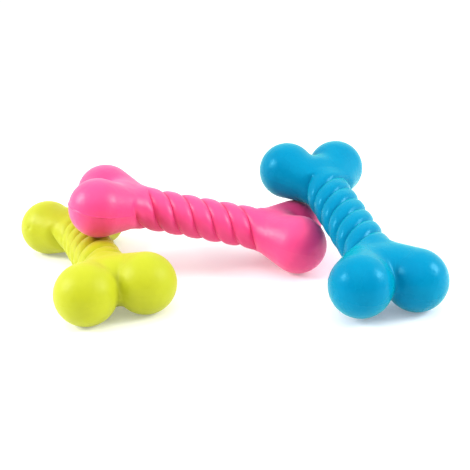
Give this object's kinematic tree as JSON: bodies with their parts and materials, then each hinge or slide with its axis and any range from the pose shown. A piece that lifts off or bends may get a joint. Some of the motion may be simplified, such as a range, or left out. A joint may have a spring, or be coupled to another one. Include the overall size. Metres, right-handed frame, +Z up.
{
  "type": "rubber chew toy",
  "caption": "Solid rubber chew bones with a twisted shaft and two round lobes at each end, piled loosely on one another.",
  "frame": {"origin": "on the floor under the middle of the pile's bounding box", "axes": "+Z up, +X to the right along the pile as the picture shows it, +Y away from the viewer"},
  "size_m": [0.2317, 0.1524, 0.0627],
  "materials": {
    "lime_rubber": "satin moulded rubber, lime green",
    "pink_rubber": "satin moulded rubber, bright pink",
    "blue_rubber": "semi-gloss moulded rubber, sky blue"
  },
  "bodies": {
    "lime": {"lime_bone": "lime_rubber"},
    "pink": {"pink_bone": "pink_rubber"},
    "blue": {"blue_bone": "blue_rubber"}
  },
  "joints": [
    {"name": "pink_lift", "type": "slide", "parent": "lime", "child": "pink", "axis": [0, 0, 1], "range_m": [0, 0.04]},
    {"name": "blue_lift", "type": "slide", "parent": "pink", "child": "blue", "axis": [0, 0, 1], "range_m": [0, 0.065]}
  ]
}
